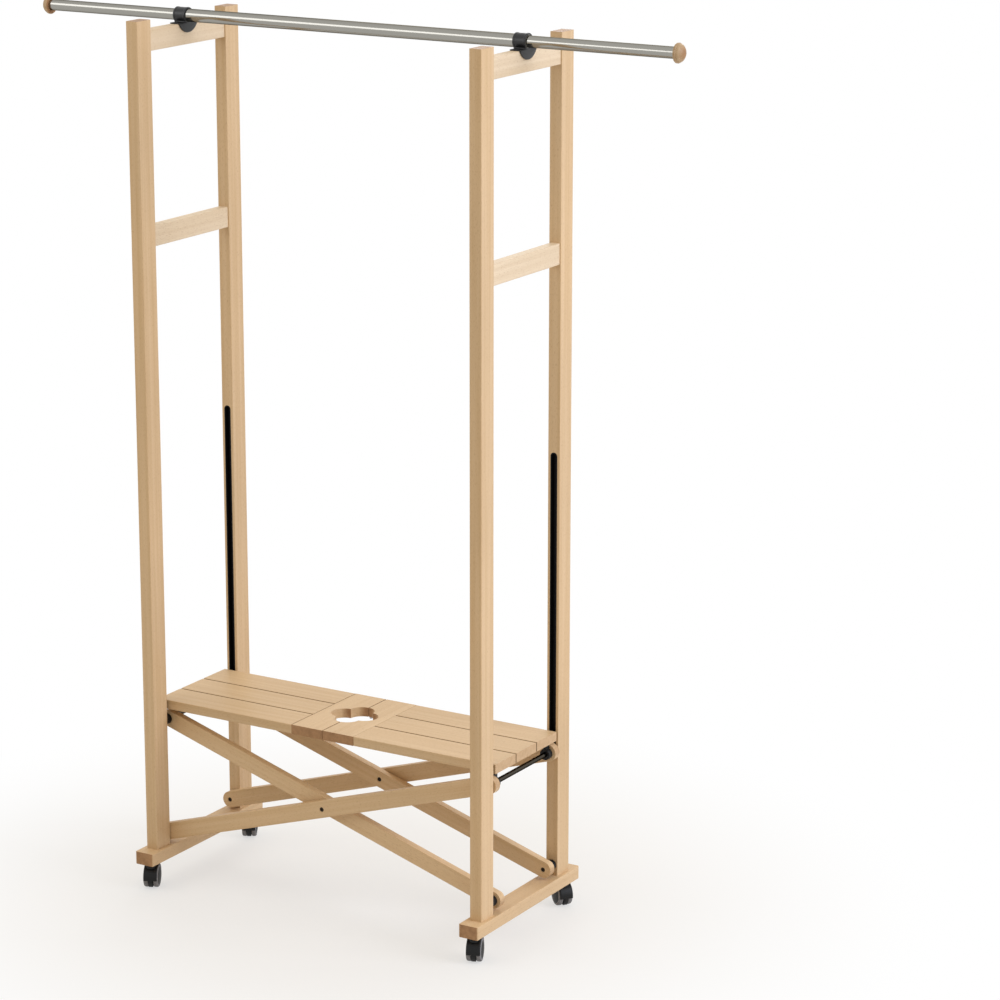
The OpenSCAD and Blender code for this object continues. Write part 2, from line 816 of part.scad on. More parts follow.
module left_slats() {
    difference() {
        half_slats();
        front_and_rear() translate([clip_screw_x, left_clip_y + clip_w / 2, shelf_z0 - cut])
            cylinder(d = screw_d + 2 * run_fit, h = cut + screw_l + part_gap);
    }
}
module left_centre_board() { half_centre_board(); }
module left_cleat() { half_cleat(); }
module left_hinge_leaves() { color(STEEL) at_hinges() left_leaf(); }
module left_rod_clips() { front_and_rear() rod_clip(left_clip_y, shelf_z0); }
module left_shelf_screws() {
    half_hinge_screws();
    front_and_rear() clip_screw(left_clip_y, shelf_z0, rod_clip_flange_t + screw_l);
}

module right_slats() { mirror([1, 0, 0]) half_slats(); }
module right_centre_board() { mirror([1, 0, 0]) half_centre_board(); }
module right_cleat() { mirror([1, 0, 0]) half_cleat(); }
module right_hinge_leaves() { color(STEEL) mirror([1, 0, 0]) at_hinges() right_leaf(); }
module right_rod_clips() {
    mirror([1, 0, 0]) front_and_rear() rod_clip(right_clip_y, shelf_z0 - turn_gap);
}
module right_clip_screws() {
    mirror([1, 0, 0]) front_and_rear() clip_screw(right_clip_y, shelf_z0 - turn_gap, rod_clip_flange_t);
}
module right_shelf_screws() { mirror([1, 0, 0]) half_hinge_screws(); }

module centre_tube() {
    color(STEEL) translate([0, 0, tube_z]) tube(tube_d, tube_bore_d, -tube_end, tube_end);
}
module tube_clips() {
    on_left() tube_clip();
    on_right() tube_clip();
}
module left_extension() { mirror([1, 0, 0]) extension(); }
module left_knob() { mirror([1, 0, 0]) knob(); }
module right_extension() { extension(); }
module right_knob() { knob(); }

module left_front_place() { facing(-half_span, -caster_y, yaw_left_front) children(); }
module left_rear_place() { facing(-half_span, caster_y, yaw_left_rear) children(); }
module right_front_place() { facing(half_span, -caster_y, yaw_right_front) children(); }
module right_rear_place() { facing(half_span, caster_y, yaw_right_rear) children(); }

module left_front_caster() { left_front_place() caster_housing(); }
module left_front_wheel_a() { left_front_place() caster_wheel(-1); }
module left_front_wheel_b() { left_front_place() caster_wheel(1); }
module left_rear_caster() { left_rear_place() caster_housing(); }
module left_rear_wheel_a() { left_rear_place() caster_wheel(-1); }
module left_rear_wheel_b() { left_rear_place() caster_wheel(1); }
module right_front_caster() { right_front_place() caster_housing(); }
module right_front_wheel_a() { right_front_place() caster_wheel(-1); }
module right_front_wheel_b() { right_front_place() caster_wheel(1); }
module right_rear_caster() { right_rear_place() caster_housing(); }
module right_rear_wheel_a() { right_rear_place() caster_wheel(-1); }
module right_rear_wheel_b() { right_rear_place() caster_wheel(1); }

left_front_post();
left_rear_post();
left_slot_liners();
left_top_rail();
left_mid_rail();
left_foot();
left_pivot_bolts();
left_pivot_washers();
left_caster_stems();
right_front_post();
right_rear_post();
right_slot_liners();
right_top_rail();
right_mid_rail();
right_foot();
right_pivot_bolts();
right_pivot_spacers();
right_caster_stems();
front_outer_bar();
rear_outer_bar();
crossing_bolts();
outer_bar_washers();
right_rod();
right_rod_glides();
front_inner_bar();
rear_inner_bar();
left_rod();
left_rod_glides();
left_rod_spacers();
left_slats();
left_centre_board();
left_cleat();
left_hinge_leaves();
left_rod_clips();
left_shelf_screws();
right_slats();
right_centre_board();
right_cleat();
right_hinge_leaves();
right_shelf_screws();
right_rod_clips();
right_clip_screws();
centre_tube();
tube_clips();
left_extension();
left_knob();
right_extension();
right_knob();
left_front_caster();
left_front_wheel_a();
left_front_wheel_b();
left_rear_caster();
left_rear_wheel_a();
left_rear_wheel_b();
right_front_caster();
right_front_wheel_a();
right_front_wheel_b();
right_rear_caster();
right_rear_wheel_a();
right_rear_wheel_b();
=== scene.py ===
import json
import math

import bpy
import numpy as np
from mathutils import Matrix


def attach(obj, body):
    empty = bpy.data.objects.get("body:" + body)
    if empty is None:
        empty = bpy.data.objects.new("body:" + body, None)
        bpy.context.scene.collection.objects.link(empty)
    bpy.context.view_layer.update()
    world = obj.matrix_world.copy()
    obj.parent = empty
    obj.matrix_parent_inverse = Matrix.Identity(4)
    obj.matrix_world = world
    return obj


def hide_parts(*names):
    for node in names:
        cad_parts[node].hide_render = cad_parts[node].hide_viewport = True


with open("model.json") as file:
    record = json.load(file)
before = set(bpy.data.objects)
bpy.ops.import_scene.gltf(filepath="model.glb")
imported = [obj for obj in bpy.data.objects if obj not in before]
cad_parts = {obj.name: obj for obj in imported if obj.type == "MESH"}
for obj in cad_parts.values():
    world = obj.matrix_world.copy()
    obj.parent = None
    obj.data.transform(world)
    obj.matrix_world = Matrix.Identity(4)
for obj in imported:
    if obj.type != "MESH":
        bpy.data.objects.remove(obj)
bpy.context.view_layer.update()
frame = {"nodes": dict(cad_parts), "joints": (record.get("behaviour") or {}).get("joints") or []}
nodes = frame["nodes"]


# The end frames' posts. Each is one sawn and planed length of steamed beech, with its long edges eased
# and a clear satin lacquer over it. It stands in a mortise in the foot beam, and a slot is milled down its
# inner face.

POSTS = ["left_front_post", "left_rear_post", "right_front_post", "right_rear_post"]


def linear(hex_colour):
    """The linear RGBA of an sRGB hex colour: each channel goes through the sRGB curve's inverse."""
    channels = np.array([int(hex_colour[i:i + 2], 16) for i in (1, 3, 5)]) / 255
    straight = np.where(channels <= 0.04045, channels / 12.92, ((channels + 0.055) / 1.055) ** 2.4)
    return (*straight.tolist(), 1.0)


def add(tree, kind, settings=(), links=()):
    """Adds a node to a tree. settings are (input or property, value), where stops are a ramp's positions
    and colours, and links are (input, output socket)."""
    node = tree.nodes.new(kind)
    for name, value in settings:
        if name == "stops":
            while len(node.color_ramp.elements) < len(value):
                node.color_ramp.elements.new(1.0)
            for element, (position, colour) in zip(node.color_ramp.elements, value):
                element.position = position
                element.color = colour
        elif isinstance(name, int) or name in node.inputs:
            node.inputs[name].default_value = value
        else:
            setattr(node, name, value)
    for name, socket in links:
        tree.links.new(socket, node.inputs[name])
    return node


def new_material(name):
    """An empty node material with its Principled shader: (material, tree, shader)."""
    material = bpy.data.materials.new(name)
    material.use_nodes = True
    shader = material.node_tree.nodes["Principled BSDF"]
    return material, material.node_tree, shader


def dress(names, material):
    """Gives CAD nodes a material in place of the plain one that they came with."""
    for name in names:
        slots = nodes[name].data.materials
        slots.clear()
        slots.append(material)


# Steamed beech: pale pinkish tan with a fine straight grain, short darker flecks where the rays are cut,
# and end grain that drinks the lacquer and turns darker and browner. The flecks are drawn twice as coarse
# as the real ones, so that they still show.
BEECH_LIGHT = "#DBBF9A"
BEECH_DEEP = "#D0B188"
BEECH_FLECK = "#B08D69"
BEECH_END = "#A0744D"
BEECH_END_DEEP = "#8A603D"
# Painted shade: the dark brown that the seams' side faces get
BEECH_SEAM_SHADE = "#7A5A38"
# Paler, greyer beech for the rails: painted highlight for glare
RAIL_GLARE_LIGHT = "#E4D2B8"
RAIL_GLARE_DEEP = "#D9C4A6"
GRAIN_MM = 2.6
FLECK_MM = 0.9
SEAM_REACH = 0.0016  # metres to either side of a seam


def beech(name, turn, seed, tone=1.0, end=0.8, seams=(), pale=False):
    """Beech whose grain runs along X once Object coordinates are turned by turn, in degrees. seed moves the
    pattern, so that no two boards show the same figure, and tone makes one board lighter or darker. end is
    how far its end grain darkens, which is less where it was sealed before the lacquer. seams are (axis,
    metres from the middle), where shade is painted in dark brown on the faces that look into a seam. pale
    paints the wood paler and greyer, as a painted highlight for glare."""
    material, tree, shader = new_material("beech_" + name)
    place = add(tree, "ShaderNodeTexCoord")
    angles = tuple(math.radians(a) for a in turn)
    turned_place = add(tree, "ShaderNodeMapping", [
        ("Location", (0.37 * seed, 0.23 * seed, 0.11 * seed)), ("Rotation", angles),
    ], [("Vector", place.outputs["Object"])]).outputs["Vector"]
    turned_normal = add(tree, "ShaderNodeMapping", [("vector_type", "NORMAL"), ("Rotation", angles)],
        [("Vector", place.outputs["Normal"])]).outputs["Vector"]
    # Growth rings: long soft bands, many times longer than they are wide
    grain_scale = 1000 / GRAIN_MM
    along = add(tree, "ShaderNodeMapping", [("Scale", (grain_scale * 0.015, grain_scale, grain_scale))],
        [("Vector", turned_place)]).outputs["Vector"]
    rings = add(tree, "ShaderNodeTexNoise", [("Scale", 0.3), ("Detail", 5.0), ("Roughness", 0.55)],
        [("Vector", along)]).outputs["Fac"]
    # pale swaps in the rails' paler colours, a painted highlight
    deep, light = (RAIL_GLARE_DEEP, RAIL_GLARE_LIGHT) if pale else (BEECH_DEEP, BEECH_LIGHT)
    wood = add(tree, "ShaderNodeValToRGB", [("stops", [(0.3, linear(deep)), (0.66, linear(light))])],
        [("Fac", rings)]).outputs["Color"]
    # Ray flecks: short dashes along the grain
    fleck_scale = 1000 / FLECK_MM
    dashes = add(tree, "ShaderNodeMapping", [("Scale", (fleck_scale * 0.2, fleck_scale, fleck_scale))],
        [("Vector", turned_place)]).outputs["Vector"]
    fleck = add(tree, "ShaderNodeTexNoise", [("Scale", 0.8), ("Detail", 1.5), ("Roughness", 0.5)],
        [("Vector", dashes)]).outputs["Fac"]
    fleck_share = add(tree, "ShaderNodeMapRange", [
        ("From Min", 0.57), ("From Max", 0.72), ("To Max", 0.42),
    ], [("Value", fleck)]).outputs["Result"]
    flecked = add(tree, "ShaderNodeMix", [("data_type", "RGBA"), (7, linear(BEECH_FLECK))],
        [(0, fleck_share), (6, wood)]).outputs[2]
    # Slow change of tone along and across a board
    slow = add(tree, "ShaderNodeTexNoise", [("Scale", 3.0), ("Detail", 1.0)],
        [("Vector", turned_place)]).outputs["Fac"]
    tone_share = add(tree, "ShaderNodeMapRange", [
        ("From Min", 0.25), ("From Max", 0.75), ("To Min", 0.95 * tone), ("To Max", 1.04 * tone),
    ], [("Value", slow)]).outputs["Result"]
    toned = add(tree, "ShaderNodeHueSaturation",
        links=[("Color", flecked), ("Value", tone_share)]).outputs["Color"]
    # End grain, where the face looks along the grain
    ends = add(tree, "ShaderNodeSeparateXYZ", links=[("Vector", turned_normal)]).outputs["X"]
    end_share = add(tree, "ShaderNodeMath", [("operation", "ABSOLUTE")], [(0, ends)]).outputs[0]
    end_mask = add(tree, "ShaderNodeMapRange", [("From Min", 0.7), ("From Max", 0.97), ("To Max", end)],
        [("Value", end_share)]).outputs["Result"]
    end_grain = add(tree, "ShaderNodeValToRGB", [
        ("stops", [(0.35, linear(BEECH_END_DEEP)), (0.62, linear(BEECH_END))]),
    ], [("Fac", rings)]).outputs["Color"]
    mixed = add(tree, "ShaderNodeMix", [("data_type", "RGBA")],
        [(0, end_mask), (6, toned), (7, end_grain)]).outputs[2]
    # Painted shade in the seams, on the faces that look into one
    for axis, distance in seams:
        across = add(tree, "ShaderNodeSeparateXYZ",
            links=[("Vector", place.outputs["Object"])]).outputs[axis]
        from_middle = add(tree, "ShaderNodeMath", [("operation", "ABSOLUTE")], [(0, across)]).outputs[0]
        at_seam = add(tree, "ShaderNodeMath", [("operation", "COMPARE"), (1, distance), (2, SEAM_REACH)],
            [(0, from_middle)]).outputs[0]
        facing = add(tree, "ShaderNodeSeparateXYZ",
            links=[("Vector", place.outputs["Normal"])]).outputs[axis]
        sideways = add(tree, "ShaderNodeMath", [("operation", "ABSOLUTE")], [(0, facing)]).outputs[0]
        side_share = add(tree, "ShaderNodeMapRange", [("From Min", 0.35), ("From Max", 0.8)],
            [("Value", sideways)]).outputs["Result"]
        seam_shade_share = add(tree, "ShaderNodeMath", [("operation", "MULTIPLY")],
            [(0, at_seam), (1, side_share)]).outputs[0]
        mixed = add(tree, "ShaderNodeMix", [("data_type", "RGBA"), (7, linear(BEECH_SEAM_SHADE))],
            [(0, seam_shade_share), (6, mixed)]).outputs[2]
    tree.links.new(mixed, shader.inputs["Base Color"])
    shade = add(tree, "ShaderNodeMapRange", [("To Min", 0.40), ("To Max", 0.56)],
        [("Value", rings)]).outputs["Result"]
    tree.links.new(shade, shader.inputs["Roughness"])
    shader.inputs["IOR"].default_value = 1.5
    shader.inputs["Specular IOR Level"].default_value = 0.25
    shader.inputs["Coat Weight"].default_value = 0.05
    shader.inputs["Coat Roughness"].default_value = 0.3
    bump = add(tree, "ShaderNodeBump", [("Strength", 0.1), ("Distance", 0.0004)], [("Height", rings)])
    tree.links.new(bump.outputs["Normal"], shader.inputs["Normal"])
    return material


GRAIN_X = (0, 0, 0)
GRAIN_Y = (0, 0, -90)
GRAIN_Z = (0, 90, 0)
for seed, name in enumerate(POSTS):
    dress([name], beech(name, GRAIN_Z, seed + 1.0))


# The rails and foot beams. Two rails are let into each pair of posts with blind tenons, and the foot beam
# carries both posts. All have their grain front to back, so the beam's ends show end grain. The rails are
# drawn in a paler, greyer beech, as a painted highlight for the glare on the top rails.

CROSS_PIECES = [
    "left_top_rail", "left_mid_rail", "left_foot", "right_top_rail", "right_mid_rail", "right_foot"]
for seed, name in enumerate(CROSS_PIECES):
    dress([name], beech(name, GRAIN_Y, seed + 7.0, pale="rail" in name))


# The slot liners, and the glides, washers and spacers that keep the moving bars off the posts. They are
# moulded in black acetal, which slides dry on steel and wood, and have the round edges that a mould leaves.
# Sizes are in millimetres from here on, but for the studio's.

ACETAL = "#0F0F11"
SPAN_X = 380.0
ROD_Z = 340.0
PIVOT_Z = 104.0
CROSSING_Z = (ROD_Z + PIVOT_Z) / 2
ROD_BORE = 5.06
BOLT_BORE = 3.06
# From the middle plane out: an inner bar's two faces, an outer bar's two faces, and the posts' face
INNER_BAR = (87.0, 103.0)
OUTER_BAR = (104.5, 120.5)
POST_FACE = 122.0
CLEAR = 0.25
GLIDE_D = 11.4
SPACER_D = 21.0
WASHER_D = 18.0


def grained_plastic(name, colour, grit_mm, roughness):
    """Moulded plastic with a fine spark-eroded grit of grit_mm, which breaks a highlight up. It is drawn
    some ten times as coarse as the real one, so that it shows."""
    material, tree, shader = new_material(name)
    place = add(tree, "ShaderNodeTexCoord")
    grit = add(tree, "ShaderNodeTexNoise", [("Scale", 1000 / grit_mm), ("Detail", 2.0)],
        [("Vector", place.outputs["Object"])]).outputs["Fac"]
    bump = add(tree, "ShaderNodeBump", [("Strength", 0.25), ("Distance", 0.0001)], [("Height", grit)])
    tree.links.new(bump.outputs["Normal"], shader.inputs["Normal"])
    shade = add(tree, "ShaderNodeMapRange", [
        ("To Min", roughness - 0.06), ("To Max", roughness + 0.06),
    ], [("Value", grit)]).outputs["Result"]
    tree.links.new(shade, shader.inputs["Roughness"])
    shader.inputs["Base Color"].default_value = linear(colour)
    shader.inputs["IOR"].default_value = 1.48
    return material


def rounded(corners, radii, steps=4, closed=True):
    """A path with rounded corners. The two sides at a corner leave an angle, and the arc of the corner's
    radius touches both: its centre is on the bisector, radius / sin(angle / 2) from the corner. An open
    path keeps its first and last corners."""
    corners = np.asarray(corners, float)
    radii = np.broadcast_to(np.asarray(radii, float), len(corners))
    back = np.roll(corners, 1, 0) - corners
    ahead = np.roll(corners, -1, 0) - corners
    back /= np.linalg.norm(back, axis=1, keepdims=True)
    ahead /= np.linalg.norm(ahead, axis=1, keepdims=True)
    half = np.arccos(np.clip((back * ahead).sum(1), -1, 1)) / 2
    bisector = back + ahead
    bisector /= np.maximum(np.linalg.norm(bisector, axis=1, keepdims=True), 1e-9)
    centre = corners + bisector * (radii / np.sin(half))[:, None]
    start = corners + back * (radii / np.tan(half))[:, None] - centre
    end = corners + ahead * (radii / np.tan(half))[:, None] - centre
    share = np.linspace(0, 1, steps + 1)[None, :, None]
    arc = start[:, None] * (1 - share) + end[:, None] * share
    arc *= radii[:, None, None] / np.linalg.norm(arc, axis=2, keepdims=True)
    path = centre[:, None] + arc
    if closed:
        return path.reshape(-1, 2)
    return np.vstack([corners[:1], path[1:-1].reshape(-1, 2), corners[-1:]])


def turned(profile, centre, axis, steps=64, key=1.0):
    """A profile of (radius, height) carried round an axis. A point is centre + height * axis + radius *
    (cos t * across + sin t * aside). key is a factor on the radius at each row and step, for a recess that
    isn't round."""
    profile = np.asarray(profile, float)
    axis = np.asarray(axis, float) / np.linalg.norm(axis)
    across = np.cross(axis, (0.0, 0.0, 1.0) if abs(axis[2]) < 0.9 else (0.0, 1.0, 0.0))
    across /= np.linalg.norm(across)
    aside = np.cross(axis, across)
    t = np.arange(steps) * (2 * np.pi / steps)
    ring = np.cos(t)[:, None] * across + np.sin(t)[:, None] * aside
    radius = np.broadcast_to(profile[:, :1] * key, (len(profile), steps))
    return np.asarray(centre, float) + profile[:, 1, None, None] * axis + radius[:, :, None] * ring


def shell(grid, ring=False, finish=0):
    """A closed shell over a grid of points: its points, faces and finishes. Columns run round it and rows
    along it. On a ring the last row joins the first, and otherwise each end closes on the mean of its row.
    Its signed volume says which way its faces point, and they are turned outwards."""
    rows, columns = grid.shape[:2]
    index = np.arange(rows * columns).reshape(rows, columns)
    here = index if ring else index[:-1]
    ahead = np.roll(index, -1, 0) if ring else index[1:]
    quads = np.stack([here, np.roll(here, -1, 1), np.roll(ahead, -1, 1), ahead], -1).reshape(-1, 4)
    finishes = np.repeat(np.broadcast_to(finish, len(here)), columns)
    points = grid.reshape(-1, 3)
    caps = np.zeros((0, 3), int)
    if not ring:
        poles = rows * columns + np.array([0, 1])
        points = np.vstack([points, grid[0].mean(0), grid[-1].mean(0)])
        caps = np.vstack([
            np.stack([np.roll(index[0], -1), index[0], np.full(columns, poles[0])], -1),
            np.stack([index[-1], np.roll(index[-1], -1), np.full(columns, poles[1])], -1)])
        finishes = np.concatenate([finishes, np.full(columns, finishes[0]), np.full(columns, finishes[-1])])
    triangles = np.vstack([quads[:, :3], quads[:, [0, 2, 3]], caps])
    a, b, c = (points[triangles[:, k]] for k in range(3))
    if (a * np.cross(b, c)).sum() < 0:
        quads, caps = quads[:, ::-1], caps[:, ::-1]
    return points, quads.tolist() + caps.tolist(), finishes


def piece(name, shells, finishes, body, stands_for, crease=32.0):
    """One object from closed shells in millimetres. It is smooth but for edges sharper than crease, in
    degrees, rides on a body and stands for CAD nodes."""
    starts = np.cumsum([0] + [len(points) for points, _, _ in shells[:-1]])
    points = np.vstack([points for points, _, _ in shells]) * 0.001
    faces = [[v + int(start) for v in face] for start, (_, part, _) in zip(starts, shells) for face in part]
    mesh = bpy.data.meshes.new(name)
    mesh.from_pydata(points.tolist(), [], faces)
    for material in finishes:
        mesh.materials.append(material)
    mesh.polygons.foreach_set("material_index", np.concatenate([f for _, _, f in shells]).astype(np.int32))
    mesh.polygons.foreach_set("use_smooth", np.ones(len(faces), bool))
    mesh.set_sharp_from_angle(angle=math.radians(crease))
    mesh.update()
    made = bpy.data.objects.new(name, mesh)
    bpy.context.scene.collection.objects.link(made)
    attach(made, body)
    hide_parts(*stands_for)


def moulded_rings(x, z, outer_d, bore_r, y0, y1, edge):
    """Two rings on one axis along Y, one at the rear from y0 to y1 and its mirror image in front. Each is
    a rectangle with round corners, carried round the axis."""
    section = rounded([(bore_r, y0), (outer_d / 2, y0), (outer_d / 2, y1), (bore_r, y1)],
        [0.15, edge, edge, 0.15])
    return [shell(turned(section, (x, 0, z), (0, side, 0)), ring=True) for side in (1, -1)]


# Acetal: nearly black, with a soft wide sheen
slide_plastic = grained_plastic("acetal_slides", ACETAL, 0.8, 0.5)
slide_plastic.node_tree.nodes["Principled BSDF"].inputs["Specular IOR Level"].default_value = 0.25
dress(["left_slot_liners", "right_slot_liners"], slide_plastic)
glide = GLIDE_D, ROD_BORE, POST_FACE + 0.6, POST_FACE + 9.6, 0.2
piece("left_glides", moulded_rings(-SPAN_X, ROD_Z, *glide),
    [slide_plastic], "inner_bars", ["left_rod_glides"])
piece("right_glides", moulded_rings(SPAN_X, ROD_Z, *glide),
    [slide_plastic], "outer_bars", ["right_rod_glides"])
rod_spacer = SPACER_D, ROD_BORE, INNER_BAR[1], POST_FACE - CLEAR, 1.5
piece("left_spacers", moulded_rings(-SPAN_X, ROD_Z, *rod_spacer),
    [slide_plastic], "inner_bars", ["left_rod_spacers"])
post_washer = WASHER_D, BOLT_BORE, OUTER_BAR[1] + CLEAR, POST_FACE, 0.4
piece("left_washers", moulded_rings(-SPAN_X, PIVOT_Z, *post_washer),
    [slide_plastic], "left_frame", ["left_pivot_washers"])
bolt_spacer = SPACER_D, BOLT_BORE, INNER_BAR[1] + CLEAR, POST_FACE, 1.5
piece("right_spacers", moulded_rings(SPAN_X, PIVOT_Z, *bolt_spacer),
    [slide_plastic], "right_frame", ["right_pivot_spacers"])
crossing_washer = WASHER_D, BOLT_BORE, INNER_BAR[1] + CLEAR, OUTER_BAR[0], 0.4
rod_washer = WASHER_D, ROD_BORE, OUTER_BAR[1], POST_FACE - CLEAR, 0.4
piece("bar_washers",
    moulded_rings(0, CROSSING_Z, *crossing_washer) + moulded_rings(SPAN_X, ROD_Z, *rod_washer),
    [slide_plastic], "outer_bars", ["outer_bar_washers"])


# The crossed bars. Two pairs of beech bars with round ends turn on bolts, whose heads sit a millimetre
# below the wood. The bolts are turned steel with a six-sided socket, blackened with a dull oxide skin that
# leaves only a soft brown shine.

BAR_SLOPE = math.degrees(math.atan2(ROD_Z - PIVOT_Z, 2 * SPAN_X))
for seed, name in enumerate(["front_outer_bar", "rear_outer_bar"]):
    dress([name], beech(name, (0, BAR_SLOPE, 0), seed + 14.0, end=0.4))
for seed, name in enumerate(["front_inner_bar", "rear_inner_bar"]):
    dress([name], beech(name, (0, -BAR_SLOPE, 0), seed + 16.0, end=0.4))


def metal(name, colour, roughness, grit_mm, spread=0.08):
    """Plated or oxidised metal, whose roughness wavers with a grit of grit_mm. The real one is finer, and
    this still shows as a faint cloudiness in a highlight."""
    material, tree, shader = new_material(name)
    place = add(tree, "ShaderNodeTexCoord")
    grit = add(tree, "ShaderNodeTexNoise", [("Scale", 1000 / grit_mm), ("Detail", 3.0)],
        [("Vector", place.outputs["Object"])]).outputs["Fac"]
    shade = add(tree, "ShaderNodeMapRange", [
        ("To Min", roughness - spread), ("To Max", roughness + spread),
    ], [("Value", grit)]).outputs["Result"]
    tree.links.new(shade, shader.inputs["Roughness"])
    shader.inputs["Base Color"].default_value = linear(colour)
    shader.inputs["Metallic"].default_value = 1.0
    return material


oxide_steel = metal("blackened_steel", "#3A332C", 0.45, 1.5)
HEAD_R = 4.5
HEAD_H = 3.0
HEAD_SINK = 1.0
BOLT_R = 3.0
BOLT_END = 140.0
SOCKET_R = 2.3


def socket_end(face, way):
    """Half a bolt's profile, from its socket's floor out over the head and in to the shank, as (radius,
    height) rows with their share of the six-sided form. face is the head's outer face, and way is +1 where
    the bolt goes up from it."""
    rows = np.array([
        (SOCKET_R * 0.97, 1.9, 1.0), (SOCKET_R, 0.25, 1.0), (SOCKET_R + 0.3, 0.0, 0.6),
        (HEAD_R - 0.7, 0.0, 0.0), (HEAD_R - 0.2, 0.15, 0.0), (HEAD_R, 0.6, 0.0),
        (HEAD_R, HEAD_H - 0.2, 0.0), (HEAD_R - 0.2, HEAD_H, 0.0), (BOLT_R, HEAD_H, 0.0)])
    rows[:, 1] = face + way * rows[:, 1]
    return rows


def bolt(rows, x, z, side):
    """A bolt along Y: rows of (radius, height, six-sided share). A six-sided row's radius at angle t is its
    corner radius times cos 30 / cos((t mod 60) - 30)."""
    steps = 48
    t = np.degrees(np.arange(steps) * (2 * np.pi / steps))
    six = math.cos(math.radians(30)) / np.cos(np.radians(np.mod(t, 60) - 30))
    return shell(turned(rows[:, :2], (x, 0, z), (0, side, 0), steps, 1 + rows[:, 2:] * (six - 1)))


def pivot_bolts(x, face):
    """The front and rear pivot bolts of one end frame, from their heads at face into the posts."""
    tip = np.array([(BOLT_R, BOLT_END - 0.5, 0.0), (BOLT_R - 0.5, BOLT_END, 0.0)])
    return [bolt(np.vstack([socket_end(face, 1), tip]), x, PIVOT_Z, side) for side in (1, -1)]


piece("left_pivots", pivot_bolts(-SPAN_X, OUTER_BAR[0] + HEAD_SINK), [oxide_steel], "left_frame",
    ["left_pivot_bolts"])
piece("right_pivots", pivot_bolts(SPAN_X, INNER_BAR[0] + HEAD_SINK), [oxide_steel], "right_frame",
    ["right_pivot_bolts"])
crossing = np.vstack([
    socket_end(INNER_BAR[0] + HEAD_SINK, 1), socket_end(OUTER_BAR[1] - HEAD_SINK, -1)[::-1]])
piece("crossing_pivots", [bolt(crossing, 0, CROSSING_Z, side) for side in (1, -1)],
    [oxide_steel], "outer_bars", ["crossing_bolts"])


# The cross rods and the hanging tube. All are drawn steel, polished and chromed, and dark along their
# edges with one bright line. The chrome's colour and edge tint are darker than the real metal's, as
# painted shade for the darker room that it reflected, because the studio around them is white on all
# sides. The thin rods' chrome is the darkest, as painted shade for the gloom under the shelf.

# Colour and edge tint darker than real chrome: painted shade
chrome = metal("polished_chrome", "#9C9A93", 0.15, 2.0, 0.04)
chrome.node_tree.nodes["Principled BSDF"].inputs["Specular Tint"].default_value = linear("#7A766E")
dress(["centre_tube", "left_extension", "right_extension"], chrome)
# A darker copy of the chrome for the rods: painted shade
shaded_rod_chrome = metal("shaded_rod_chrome", "#57534D", 0.18, 2.0, 0.04)
shaded_rod_chrome.node_tree.nodes["Principled BSDF"].inputs["Specular Tint"].default_value = linear("#4A463F")
dress(["left_rod", "right_rod"], shaded_rod_chrome)


# The shelf. Each half has three slats along the stand, tongued into a cross board, and a beech cleat
# below. Zinc-plated hinges join the halves, and moulded clips hold them on the rods, with screws driven
# from below.

# Where the slats and the boards meet, in metres from the middle; shade is painted into these seams
SLAT_SEAMS = (("Y", 0.03873), ("X", 0.0725))
BOARD_SEAMS = (("X", 0.0004), ("X", 0.0724))
for side, first in (("left", 20.0), ("right", 30.0)):
    dress([side + "_slats"], beech(side + "_slats", GRAIN_X, first, 0.95, 0.25, SLAT_SEAMS))
    dress([side + "_centre_board"],
        beech(side + "_centre_board", GRAIN_Y, first + 1, 0.95, 0.8, BOARD_SEAMS))
    dress([side + "_cleat"], beech(side + "_cleat", GRAIN_Y, first + 2))
# Bright zinc plating: a pale cool grey with a cloudy shine
zinc = metal("bright_zinc", "#B9BCC0", 0.32, 1.2)
dress(["left_hinge_leaves", "right_hinge_leaves", "left_caster_stems", "right_caster_stems"], zinc)
SHELF_Z = 364.0
SCREW_R = 1.8
SCREW_TIP = 376.0
RING_D = 22.0
CLIP_WIDTH = 12.0
FLANGE_T = 3.0
LEFT_CLIP_Y = 74.5
RIGHT_CLIP_Y = 92.0
CLIP_SCREW_X = SPAN_X - 16.0


def screws(places, face, tip):
    """Screws driven up: a low head with its outer face down at face, a recess with four arms, and a shank
    to tip. A recess row's radius at angle t is its arm's length times 0.45 + 0.55 cos(2 t) squared."""
    rows = np.array([
        (0.5, 1.2, 0.0), (1.9, 0.1, 1.0), (2.1, 0.0, 0.5), (2.6, 0.05, 0.0), (3.1, 0.5, 0.0),
        (3.3, 1.2, 0.0), (3.3, 1.9, 0.0), (3.2, 2.0, 0.0), (SCREW_R, 2.0, 0.0)])
    rows[:, 1] += face
    rows = np.vstack([rows, (SCREW_R, tip - 1.0, 0.0), (SCREW_R - 0.7, tip, 0.0)])
    steps = 48
    t = np.arange(steps) * (2 * np.pi / steps)
    cross = 0.45 + 0.55 * np.cos(2 * t) ** 2
    key = 1 + rows[:, 2:] * (cross - 1)
    return [shell(turned(rows[:, :2], (x, y, 0), (0, 0, 1), steps, key)) for x, y in places]


